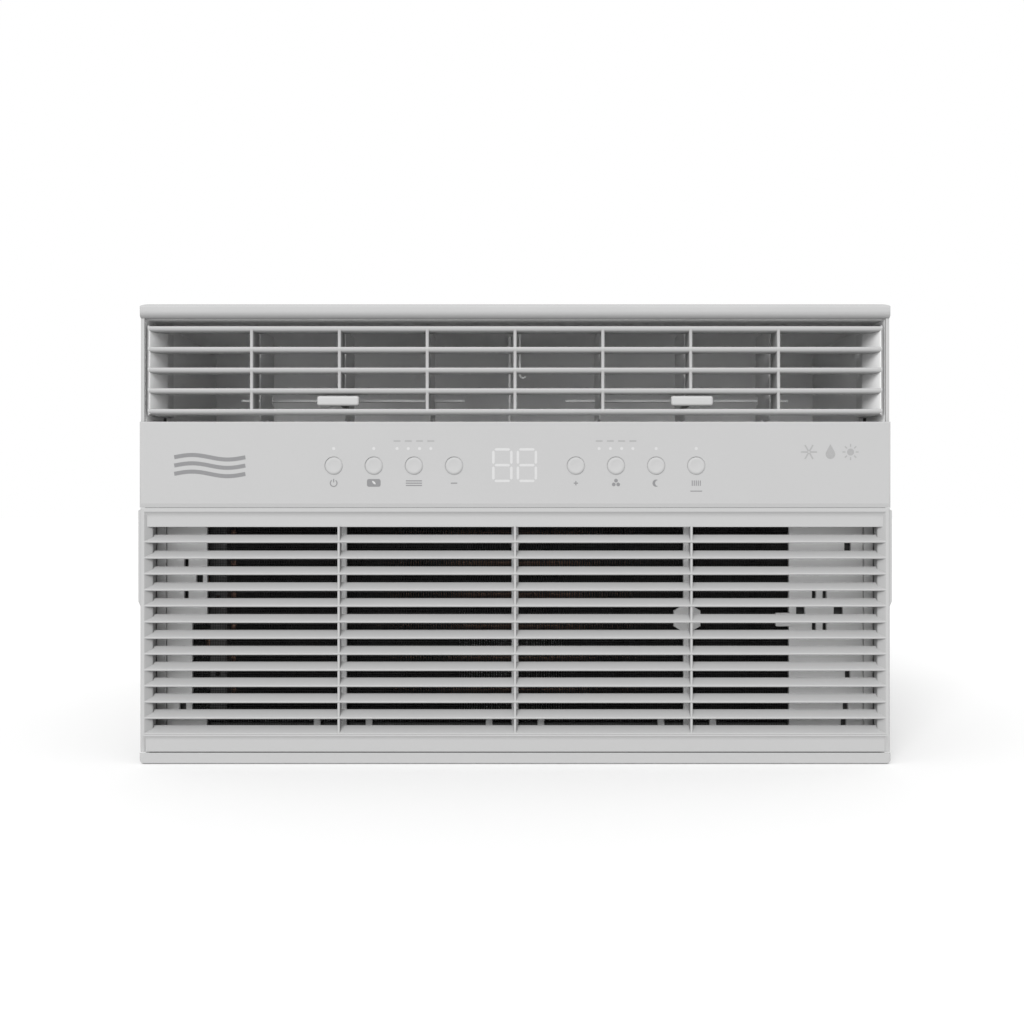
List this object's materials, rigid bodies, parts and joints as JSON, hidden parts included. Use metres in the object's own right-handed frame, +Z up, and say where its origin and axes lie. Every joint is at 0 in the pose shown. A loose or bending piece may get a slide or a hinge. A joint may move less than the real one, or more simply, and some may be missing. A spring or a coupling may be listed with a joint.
{
  "type": "window air conditioner",
  "caption": "Window air conditioner with a rocking air-outlet louvre, push-button band, hinged slatted intake grille and a louvred steel cabinet",
  "frame": {"origin": "middle of the footprint, on the surface that the unit stands on", "axes": "room side faces -Y, +X to the right seen from the room, +Z up"},
  "size_m": [0.5624, 0.54, 0.343],
  "materials": {
    "front_plastic": "fine satin moulded ABS, light neutral grey",
    "tab_plastic": "semi-gloss light moulded plastic",
    "inner_plastic": "satin mid-grey moulded plastic",
    "black_plastic": "matt black moulded plastic",
    "cabinet_paint": "powder-coated sheet steel, fine texture",
    "galvanised": "galvanised sheet steel",
    "fins": "thin corrugated fin stack",
    "copper": "drawn copper tube, slightly tarnished",
    "foam": "expanded foam board",
    "circuit_board": "green solder-masked board",
    "compressor_paint": "black baked enamel",
    "rubber": "black moulded rubber",
    "filter_net": "woven polypropylene net"
  },
  "bodies": {
    "chassis": {"front_panel": "front_plastic", "control_board": "circuit_board", "display_module": "black_plastic", "outlet_duct": "inner_plastic", "filter_frame": "inner_plastic", "evaporator_surround": "inner_plastic", "blower_scroll": "inner_plastic", "blower_orifice": "inner_plastic", "filter_mesh": "filter_net", "evaporator_coil": "fins", "condenser_coil": "fins", "evaporator_end_plate_left": "galvanised", "evaporator_end_plate_right": "galvanised", "condenser_end_plate_left": "galvanised", "condenser_end_plate_right": "galvanised", "fan_motor": "galvanised", "motor_bracket": "galvanised", "control_box": "galvanised", "base_pan": "galvanised", "cabinet_screw_left": "galvanised", "cabinet_screw_right": "galvanised", "bulkhead": "foam", "condenser_shroud": "black_plastic", "compressor": "compressor_paint", "accumulator": "compressor_paint", "compressor_foot_1": "rubber", "compressor_foot_2": "rubber", "compressor_foot_3": "rubber", "cord_gland": "rubber", "drain_plug": "rubber", "discharge_pipe": "copper", "suction_pipe": "copper", "liquid_pipe": "copper", "filter_drier": "copper", "power_board": "circuit_board", "cabinet": "cabinet_paint", "rear_guard": "cabinet_paint"},
    "grille": {"intake_grille": "front_plastic"},
    "louvre": {"louvre_cassette": "front_plastic"},
    "rotor": {"fan_shaft": "galvanised", "blower_wheel": "black_plastic", "condenser_fan": "black_plastic"},
    "power_button": {"button_power": "front_plastic"},
    "eco_button": {"button_eco": "front_plastic"},
    "mode_button": {"button_mode": "front_plastic"},
    "minus_button": {"button_minus": "front_plastic"},
    "plus_button": {"button_plus": "front_plastic"},
    "speed_button": {"button_speed": "front_plastic"},
    "sleep_button": {"button_sleep": "front_plastic"},
    "filter_button": {"button_filter": "front_plastic"},
    "vane_left_2": {"vane_left_2": "inner_plastic", "adjuster_tab_left": "tab_plastic"},
    "vane_left_1": {"vane_left_1": "inner_plastic"},
    "vane_left_3": {"vane_left_3": "inner_plastic"},
    "link_left": {"link_bar_left": "inner_plastic"},
    "vane_right_2": {"vane_right_2": "inner_plastic", "adjuster_tab_right": "tab_plastic"},
    "vane_right_1": {"vane_right_1": "inner_plastic"},
    "vane_right_3": {"vane_right_3": "inner_plastic"},
    "link_right": {"link_bar_right": "inner_plastic"}
  },
  "joints": [
    {"name": "grille_open", "type": "hinge", "parent": "chassis", "child": "grille", "pos_m": [0, -0.263, 0.0148], "axis": [1, 0, 0], "range_deg": [0, 80]},
    {"name": "louvre_tilt", "type": "hinge", "parent": "chassis", "child": "louvre", "pos_m": [0, -0.2535, 0.29365], "axis": [1, 0, 0], "range_deg": [-9, 9]},
    {"name": "swing_vane_left_2", "type": "hinge", "parent": "chassis", "child": "vane_left_2", "pos_m": [-0.1316, -0.214, 0.2945], "axis": [0, 0, 1], "range_deg": [-25, 25]},
    {"name": "swing_vane_left_1", "type": "hinge", "parent": "chassis", "child": "vane_left_1", "pos_m": [-0.1974, -0.214, 0.2945], "axis": [0, 0, 1], "range_deg": [-25, 25]},
    {"name": "swing_vane_left_3", "type": "hinge", "parent": "chassis", "child": "vane_left_3", "pos_m": [-0.0658, -0.214, 0.2945], "axis": [0, 0, 1], "range_deg": [-25, 25]},
    {"name": "link_turn_left", "type": "hinge", "parent": "vane_left_2", "child": "link_left", "pos_m": [-0.1316, -0.191, 0.2779], "axis": [0, 0, 1], "range_deg": [-25, 25]},
    {"name": "swing_vane_right_2", "type": "hinge", "parent": "chassis", "child": "vane_right_2", "pos_m": [0.1316, -0.214, 0.2945], "axis": [0, 0, 1], "range_deg": [-25, 25]},
    {"name": "swing_vane_right_1", "type": "hinge", "parent": "chassis", "child": "vane_right_1", "pos_m": [0.0658, -0.214, 0.2945], "axis": [0, 0, 1], "range_deg": [-25, 25]},
    {"name": "swing_vane_right_3", "type": "hinge", "parent": "chassis", "child": "vane_right_3", "pos_m": [0.1974, -0.214, 0.2945], "axis": [0, 0, 1], "range_deg": [-25, 25]},
    {"name": "link_turn_right", "type": "hinge", "parent": "vane_right_2", "child": "link_right", "pos_m": [0.1316, -0.191, 0.2779], "axis": [0, 0, 1], "range_deg": [-25, 25]},
    {"name": "press_power", "type": "slide", "parent": "chassis", "child": "power_button", "axis": [0, 1, 0], "range_m": [0, 0.001], "stiffness_N_per_m": 500},
    {"name": "press_eco", "type": "slide", "parent": "chassis", "child": "eco_button", "axis": [0, 1, 0], "range_m": [0, 0.001], "stiffness_N_per_m": 500},
    {"name": "press_mode", "type": "slide", "parent": "chassis", "child": "mode_button", "axis": [0, 1, 0], "range_m": [0, 0.001], "stiffness_N_per_m": 500},
    {"name": "press_minus", "type": "slide", "parent": "chassis", "child": "minus_button", "axis": [0, 1, 0], "range_m": [0, 0.001], "stiffness_N_per_m": 500},
    {"name": "press_plus", "type": "slide", "parent": "chassis", "child": "plus_button", "axis": [0, 1, 0], "range_m": [0, 0.001], "stiffness_N_per_m": 500},
    {"name": "press_speed", "type": "slide", "parent": "chassis", "child": "speed_button", "axis": [0, 1, 0], "range_m": [0, 0.001], "stiffness_N_per_m": 500},
    {"name": "press_sleep", "type": "slide", "parent": "chassis", "child": "sleep_button", "axis": [0, 1, 0], "range_m": [0, 0.001], "stiffness_N_per_m": 500},
    {"name": "press_filter", "type": "slide", "parent": "chassis", "child": "filter_button", "axis": [0, 1, 0], "range_m": [0, 0.001], "stiffness_N_per_m": 500},
    {"name": "fan_spin", "type": "hinge", "parent": "chassis", "child": "rotor", "pos_m": [0, 0, 0.16], "axis": [0, 1, 0], "continuous": true}
  ],
  "couplings": [
    {"joint": "swing_vane_left_1", "follows": "swing_vane_left_2", "ratio": 1},
    {"joint": "swing_vane_left_3", "follows": "swing_vane_left_2", "ratio": 1},
    {"joint": "link_turn_left", "follows": "swing_vane_left_2", "ratio": -1},
    {"joint": "swing_vane_right_1", "follows": "swing_vane_right_2", "ratio": 1},
    {"joint": "swing_vane_right_3", "follows": "swing_vane_right_2", "ratio": 1},
    {"joint": "link_turn_right", "follows": "swing_vane_right_2", "ratio": -1}
  ]
}
